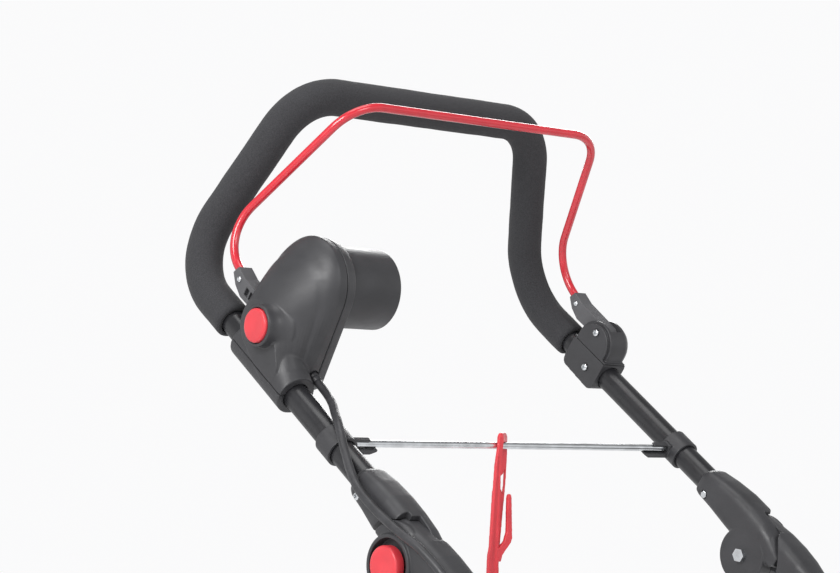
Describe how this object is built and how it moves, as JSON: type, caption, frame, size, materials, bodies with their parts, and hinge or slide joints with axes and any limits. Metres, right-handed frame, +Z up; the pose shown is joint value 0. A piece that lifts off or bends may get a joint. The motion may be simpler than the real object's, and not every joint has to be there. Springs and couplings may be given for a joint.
{
  "type": "snowblower handlebar",
  "caption": "Folding operator handlebar of a corded snowblower: padded loop grip, squeeze bail, switch box with plug inlet, cord hook on a rod, and two locking fold joints.",
  "frame": {"origin": "midpoint between the two bolt holes in the feet of the lower tubes", "axes": "+Z up, -Y the way the machine drives, X across the machine with the switch box on -X"},
  "size_m": [0.518, 0.5364, 0.6059],
  "materials": {
    "grip_foam": "matte closed-cell foam",
    "black_paint": "satin black powder coat",
    "dark_plastic": "fine moulded texture",
    "grey_plastic": "fine moulded texture",
    "red_paint": "gloss red coating",
    "red_plastic": "moulded red, semi gloss",
    "zinc": "bright zinc plate",
    "spring_steel": "bright wire",
    "brass": "bright",
    "cable_rubber": "satin jacket"
  },
  "bodies": {
    "lower_frame": {"lower_tube_near": "black_paint", "lower_knuckle_near": "dark_plastic", "fold_bolt_near": "zinc", "fold_nut_near": "zinc", "lower_leg_bolt_near": "zinc", "lower_tube_far": "black_paint", "lower_knuckle_far": "dark_plastic", "fold_bolt_far": "zinc", "fold_nut_far": "zinc", "lower_leg_bolt_far": "zinc", "motor_cable_lower": "cable_rubber", "motor_connector": "dark_plastic"},
    "upper_handle": {"upper_tube": "black_paint", "foam_grip": "grip_foam", "lever_housing_cap": "dark_plastic", "lever_housing_clamp": "dark_plastic", "housing_screw_upper": "zinc", "housing_screw_lower": "zinc", "switch_case_outer": "dark_plastic", "switch_case_inner": "dark_plastic", "switch_leg_clamp": "dark_plastic", "case_screw_1": "zinc", "case_screw_2": "zinc", "case_screw_3": "zinc", "case_screw_4": "zinc", "plug_collar": "dark_plastic", "plug_insert": "grey_plastic", "plug_pin_1": "brass", "plug_pin_2": "brass", "safety_switch": "dark_plastic", "safety_spring": "spring_steel", "lever_pin_near": "zinc", "start_spring": "spring_steel", "rod_clip_near": "dark_plastic", "rod_clip_far": "dark_plastic", "fold_shell_near": "dark_plastic", "lock_spring_near": "spring_steel", "upper_leg_bolt_near": "zinc", "fold_shell_far": "dark_plastic", "lock_spring_far": "spring_steel", "upper_leg_bolt_far": "zinc", "motor_cable_upper": "cable_rubber", "cable_boot": "cable_rubber"},
    "bail": {"bail_rod": "red_paint", "bail_lever_near": "grey_plastic", "bail_lever_far": "grey_plastic", "bail_rivet_near": "zinc", "bail_rivet_far": "zinc"},
    "safety_plunger": {"safety_plunger": "red_plastic"},
    "start_button": {"start_button": "red_plastic"},
    "cross_rod": {"cross_rod": "zinc"},
    "cord_hook": {"cord_hook": "red_plastic"},
    "release_button_near": {"release_button_near": "red_plastic"},
    "lock_gear_near": {"lock_gear_near": "spring_steel"},
    "release_button_far": {"release_button_far": "red_plastic"},
    "lock_gear_far": {"lock_gear_far": "spring_steel"}
  },
  "joints": [
    {"name": "handle_fold", "type": "hinge", "parent": "lower_frame", "child": "upper_handle", "pos_m": [0, 0.19623, 0.12235], "axis": [-1, 0, 0], "range_deg": [0, 150]},
    {"name": "bail_squeeze", "type": "hinge", "parent": "upper_handle", "child": "bail", "pos_m": [0, 0.39075, 0.35108], "axis": [-1, 0, 0], "range_deg": [0, 14.5], "stiffness_Nm_per_rad": 1.5, "springref_deg": -17.19},
    {"name": "plunger_rise", "type": "slide", "parent": "upper_handle", "child": "safety_plunger", "axis": [0, -0.6143, 0.7891], "range_m": [0, 0.0042], "stiffness_N_per_m": 250, "springref_m": -0.003, "deforming": ["safety_spring"]},
    {"name": "start_press", "type": "slide", "parent": "upper_handle", "child": "start_button", "axis": [1, 0, 0], "range_m": [0, 0.003], "stiffness_N_per_m": 700, "springref_m": -0.003, "deforming": ["start_spring"]},
    {"name": "rod_turn", "type": "hinge", "parent": "upper_handle", "child": "cross_rod", "pos_m": [0, 0.29393, 0.22882], "axis": [1, 0, 0], "range_deg": [-60, 60]},
    {"name": "hook_slide", "type": "slide", "parent": "cross_rod", "child": "cord_hook", "axis": [1, 0, 0], "range_m": [-0.135, 0.165]},
    {"name": "release_press_near", "type": "slide", "parent": "lower_frame", "child": "release_button_near", "axis": [1, 0, 0], "range_m": [0, 0.004]},
    {"name": "gear_slide_near", "type": "slide", "parent": "upper_handle", "child": "lock_gear_near", "axis": [1, 0, 0], "range_m": [0, 0.004], "stiffness_N_per_m": 800, "springref_m": -0.003, "deforming": ["lock_spring_near"]},
    {"name": "release_press_far", "type": "slide", "parent": "lower_frame", "child": "release_button_far", "axis": [-1, 0, 0], "range_m": [0, 0.004]},
    {"name": "gear_slide_far", "type": "slide", "parent": "upper_handle", "child": "lock_gear_far", "axis": [-1, 0, 0], "range_m": [0, 0.004], "stiffness_N_per_m": 800, "springref_m": -0.003, "deforming": ["lock_spring_far"]}
  ],
  "couplings": [
    {"joint": "plunger_rise", "follows": "bail_squeeze", "m_per_rad": 0.0158},
    {"joint": "gear_slide_near", "follows": "release_press_near", "ratio": 1},
    {"joint": "gear_slide_far", "follows": "release_press_far", "ratio": 1}
  ]
}
